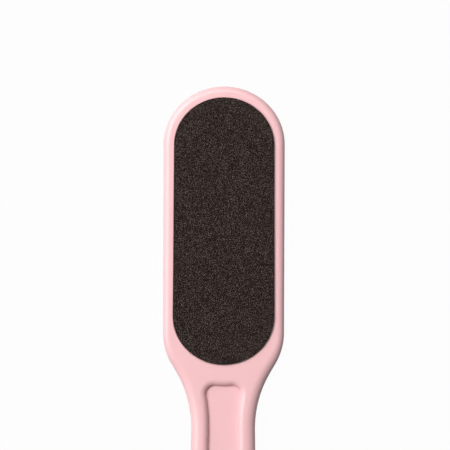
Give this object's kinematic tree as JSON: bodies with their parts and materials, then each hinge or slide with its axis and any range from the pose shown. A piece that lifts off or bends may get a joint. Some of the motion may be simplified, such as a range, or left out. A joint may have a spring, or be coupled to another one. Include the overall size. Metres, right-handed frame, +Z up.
{
  "type": "foot file",
  "caption": "Paddle-shaped foot file with a coarse and a fine abrasive pad in its faces, rounded shoulders, a dished handle panel and a hang hole.",
  "frame": {"origin": "middle of the object's box, on the surface that the fine pad lies on", "axes": "+Y along the file towards the tip of its head, +Z up out of the coarse pad, +X across"},
  "size_m": [0.05, 0.26, 0.0082],
  "materials": {
    "moulded_plastic": "satin pink",
    "adhesive": "translucent tacky film",
    "backing": "resin-filled cloth sheet",
    "coarse_grit": "coarse dark grit in resin",
    "fine_grit": "fine dark grit in resin"
  },
  "bodies": {
    "root": {"paddle_body": "moulded_plastic", "coarse_adhesive_film": "adhesive", "coarse_backing_sheet": "backing", "coarse_grit_coat": "coarse_grit", "fine_adhesive_film": "adhesive", "fine_backing_sheet": "backing", "fine_grit_coat": "fine_grit"}
  },
  "joints": []
}
